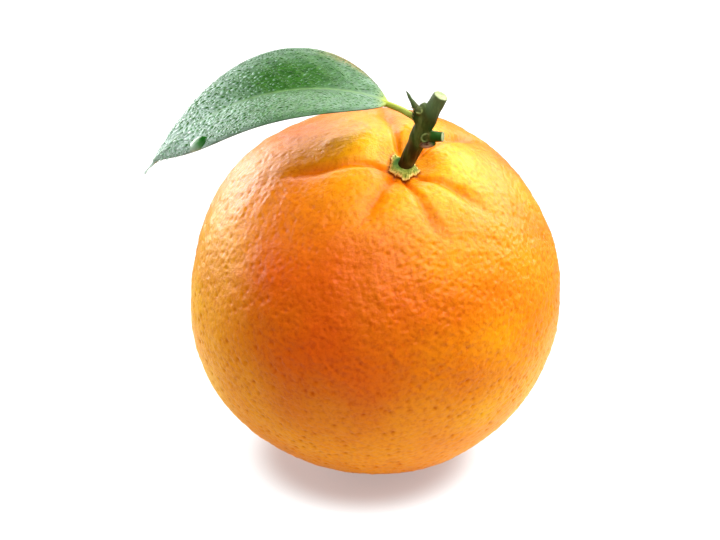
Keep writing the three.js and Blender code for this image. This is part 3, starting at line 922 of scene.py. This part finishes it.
def leaf():
    material = leaf_material()
    leaf_blade(material)
    stalk_line = [*STALK_AXIS, bezier(along_midrib(0.05)) - [0, 0, 0.25]]
    stalk_stops = [(t, w * PETIOLE_RADIUS) for t, w in STALK_WIDTHS]
    leaf_rod("leaf_stalk", stalk_line, stalk_stops, 32, 60, material, 0, 1)
    thread_line = [bezier(along_midrib(0.965)), *THREAD_AXIS]
    thread_stops = [(0, 0.42), (0.3, 0.3), (0.6, 0.14), (1, 0.2)]
    leaf_rod("leaf_tip", thread_line, thread_stops, 16, 40, material, 1, 0)


leaf()


# Dew: flat domes of water on the leaf's upper face, painted pale where they pass light on downhill and
# darker uphill
def dew_material():
    s = Shader("dew", Roughness=0.3, Specular_IOR_Level=0.25)
    dark = [(0.0, (14, 54, 8)), (0.35, (48, 100, 30))]
    pale = [(0.65, (124, 162, 132)), (1.0, (196, 216, 206))]
    # each drop's own paleness plus its painted light and shade
    s.colour(s.ramp(s.value("drop_tint_and_painted_light"), dark + pale))
    return s.material


# The upper half of a ball of radius 1
def dome(rings, sides):
    points = [(0, 0, 1.0)]
    for i in range(1, rings + 1):
        a = i / rings * math.pi / 2
        for j in range(sides):
            b = 2 * math.pi * j / sides
            points.append((math.sin(a) * math.cos(b), math.sin(a) * math.sin(b), math.cos(a)))
    faces = [(0, 1 + j, 1 + (j + 1) % sides) for j in range(sides)]
    for i in range(rings - 1):
        for j in range(sides):
            a, b = 1 + i * sides + j, 1 + i * sides + (j + 1) % sides
            faces += [(a, a + sides, b + sides), (a, b + sides, b)]
    return np.array(points), np.array(faces)


# Where the drops sit, and for each its half width, its stretch and how pale it is
def drops(count, smallest, largest, spacing, seed):
    rng = np.random.default_rng(seed)
    u = rng.uniform(0.02, 0.99, count)
    v = rng.uniform(-0.97, 0.97, count)
    keep = rng.uniform(0, 1, count) < leaf_width(u) / LEAF_HALF_WIDTH
    u, v = u[keep], v[keep]
    at = leaf_point(u, v)
    wetter = 0.35 + 0.65 * smooth(u, 0.25, 0.85)
    size = smallest + (largest - smallest) * rng.uniform(0, 1, len(u)) ** 2 * wetter
    size = size * (1 - 0.5 * smooth(np.abs(v), 0.75, 0.95))
    chosen = spread_out(at, size * spacing / wetter**0.5, seed + 1)
    big = leaf_point(np.array([BIG_DROP[0]]), np.array([BIG_DROP[1]]))
    chosen = chosen[np.linalg.norm(at[chosen] - big, axis=1) > 2.0]
    stretch = rng.uniform(1.2, 2.0, len(chosen))
    tint = rng.uniform(0, 1, len(chosen))
    return u[chosen], v[chosen], size[chosen], stretch, tint


# Each size of drop: places tried, smallest and largest half width, spacing and seed
DROP_SIZES = [(12000, 0.2, 0.7, 1.5, 17), (30000, 0.11, 0.22, 2.2, 27)]


def dew():
    shape, dome_faces = dome(4, 9)
    downhill = unit([-0.75, -0.25, -0.6])
    all_points, all_wet = [], []
    for count, smallest, largest, spacing, seed in DROP_SIZES:
        u, v, size, stretch, tint = drops(count, smallest, largest, spacing, seed)
        normal = leaf_normal(u, v)
        turn = ((tint * 10) % 1 * 1.6 - 0.8)[:, None]
        way = bezier_way(along_midrib(u))
        side = unit(way - normal * (way * normal).sum(1, keepdims=True))
        other = np.cross(normal, side)
        long_way = side * np.cos(turn) + other * np.sin(turn)
        short_way = other * np.cos(turn) - side * np.sin(turn)
        across = long_way[:, None] * shape[None, :, 0, None] * (size * stretch)[:, None, None]
        across = across + short_way[:, None] * shape[None, :, 1, None] * (size / stretch)[:, None, None]
        high = normal[:, None] * shape[None, :, 2, None] * (size * DROP_HEIGHT)[:, None, None]
        base = leaf_point(u, v) + normal * (LEAF_THICKNESS / 2 - 0.04)
        all_points.append((base[:, None] + across + high).reshape(-1, 3))
        # painted light and shade across each drop: pale downhill, darker uphill
        lens = np.clip((across @ downhill) / size[:, None], -1, 1)
        pale = 0.3 + 0.5 * smooth(u, 0.35, 0.95) + 0.1 * smooth(-v, 0, 0.9) * (1 - u)
        pale = pale + 0.25 * (tint - 0.5)
        contrast = 0.22 + 0.24 * smooth(u, 0.25, 0.6) - 0.14 * smooth(u, 0.75, 0.95)
        contrast = contrast * (1 if largest > 0.3 else 0.5)
        all_wet.append(np.clip(pale[:, None] + contrast[:, None] * lens, 0, 1).ravel())
    points = np.vstack(all_points)
    count = len(points) // len(shape)
    faces = (dome_faces[None] + (np.arange(count) * len(shape))[:, None, None]).reshape(-1, 3)
    new_piece("dew", points, faces, {"drop_tint_and_painted_light": np.concatenate(all_wet)}, dew_material())


# The big drop's colour is painted light and shade: dark green on its upper side, pale downhill where it
# passes light on
def drop_material():
    s = Shader("big_drop", Roughness=0.05, Specular_IOR_Level=0.4)
    s.colour(s.ramp(s.value("lens"), [(0.0, (24, 84, 20)), (0.4, (76, 134, 74)), (1.0, (172, 200, 176))]))
    return s.material


def big_drop():
    u, v = np.array([BIG_DROP[0]]), np.array([BIG_DROP[1]])
    shape, faces = dome(16, 40)
    normal = leaf_normal(u, v)[0]
    way = unit([-1.0, -0.1, -0.1])
    side = unit(way - normal * (way @ normal))
    other = np.cross(normal, side)
    base = leaf_point(u, v)[0] + normal * (LEAF_THICKNESS / 2 - 0.12)
    long, short, high = BIG_DROP_SIZE
    points = base + shape[:, :1] * side * long + shape[:, 1:2] * other * short
    points = points + shape[:, 2:] * normal * high
    downhill = unit([-0.8, -0.2, -0.55])
    # painted light and shade across the big drop, pale downhill
    lens = np.clip(0.42 + 0.36 * ((points - base) @ downhill), 0, 1)
    new_piece("dew_big", points, faces, {"lens": lens}, drop_material())


dew()
big_drop()


# Studio, in metres. The camera sees white surroundings and a grey floor with a painted shadow: the
# floor glows pinkish grey in a circle round the fruit's foot and white beyond it, over the real shadow.
# Other rays meet a warm floor near the fruit, a dark one further out and dim surroundings.
FLOOR_REACH = 3.0
FLOOR_LEVEL = -0.0002
SHADOW_MIDDLE = (-0.0025, -0.0022, 0)
SHADOW_INSIDE = 0.016
SHADOW_OUTSIDE = 0.0292
NEAR_FLOOR = 0.06
FAR_FLOOR = 0.14
LIGHT_DISTANCE = 0.8


def floor():
    mesh = bpy.data.meshes.new("floor")
    corners = [(-1, -1), (1, -1), (1, 1), (-1, 1)]
    points = [(x * FLOOR_REACH, y * FLOOR_REACH, FLOOR_LEVEL) for x, y in corners]
    mesh.from_pydata(points, [], [(0, 1, 2, 3)])
    s = Shader("floor", Roughness=0.9, Specular_IOR_Level=0.0)
    seen = s.node("ShaderNodeLightPath").outputs["Is Camera Ray"]
    distance = s.node("ShaderNodeVectorMath", operation="DISTANCE")
    s.links.new(s.node("ShaderNodeTexCoord").outputs["Object"], distance.inputs[0])
    distance.inputs[1].default_value = SHADOW_MIDDLE
    away = distance.outputs["Value"]
    bounce = s.mix(s.rise(away, NEAR_FLOOR, FAR_FLOOR), (222, 204, 170), (92, 90, 88))
    s.colour(s.mix(seen, bounce, (116, 116, 116)))
    # painted shadow: the camera sees the floor glow pinkish grey round the fruit's foot, white further
    # out
    glow = s.mix(s.rise(away, SHADOW_INSIDE, SHADOW_OUTSIDE), (184, 165, 160), (255, 255, 255))
    s.links.new(s.mix(seen, (0, 0, 0), glow), s.bsdf.inputs["Emission Color"])
    s.bsdf.inputs["Emission Strength"].default_value = 1.0
    mesh.materials.append(s.material)
    plane = bpy.data.objects.new("floor", mesh)
    bpy.context.collection.objects.link(plane)


# A square soft box: its bearing in degrees from behind the fruit towards the right, its height
# in degrees, its power in watts and its side in metres
def soft_box(name, bearing, height, power, side):
    light = bpy.data.lights.new(name, "AREA")
    light.shape = "SQUARE"
    light.size = side
    light.energy = power
    lamp = bpy.data.objects.new(name, light)
    level = math.cos(height * RAD)
    sideways, back = math.sin(bearing * RAD), math.cos(bearing * RAD)
    way = Vector((sideways * level, back * level, math.sin(height * RAD)))
    lamp.location = Vector(CENTRE * MM) + way * LIGHT_DISTANCE
    lamp.rotation_mode = "QUATERNION"
    lamp.rotation_quaternion = way.to_track_quat("Z", "Y")
    bpy.context.collection.objects.link(lamp)


def surroundings():
    world = bpy.data.worlds.new("studio")
    bpy.context.scene.world = world
    world.use_nodes = True
    nodes, links = world.node_tree.nodes, world.node_tree.links
    nodes.clear()
    lit = nodes.new("ShaderNodeBackground")
    lit.inputs["Color"].default_value = (1, 0.985, 0.985, 1)
    lit.inputs["Strength"].default_value = 0.04
    seen = nodes.new("ShaderNodeBackground")
    seen.inputs["Color"].default_value = (1, 1, 1, 1)
    path = nodes.new("ShaderNodeLightPath")
    mix = nodes.new("ShaderNodeMixShader")
    links.new(path.outputs["Is Camera Ray"], mix.inputs["Fac"])
    links.new(lit.outputs[0], mix.inputs[1])
    links.new(seen.outputs[0], mix.inputs[2])
    out = nodes.new("ShaderNodeOutputWorld")
    links.new(mix.outputs[0], out.inputs["Surface"])


floor()
surroundings()
soft_box("left_back_box", -40, 2, 5.5, 0.5)
soft_box("back_box", -6, 28, 3.0, 0.4)
soft_box("left_box", -58, 4, 11.5, 0.9)
soft_box("right_back_box", 50, 36, 11.2, 0.8)
soft_box("right_box", 80, 38, 3.5, 0.9)
soft_box("high_box", 142, 62, 8.6, 0.7)
soft_box("front_box", 190, 38, 1.2, 0.9)

# Camera at the photograph's height and distance
ELEVATION = 28 * RAD
FOCAL = 100.0
SENSOR = 36.0
CAMERA_AT = Vector((-3.454, -365.412, 236.547)) * MM

camera_data = bpy.data.cameras.new("camera")
camera_data.lens = FOCAL
camera_data.sensor_width = SENSOR
camera = bpy.data.objects.new("camera", camera_data)
camera.location = CAMERA_AT
camera.rotation_euler = (math.pi / 2 - ELEVATION, 0, 0)
bpy.context.collection.objects.link(camera)
bpy.context.scene.camera = camera
bpy.context.scene.view_settings.view_transform = "Standard"
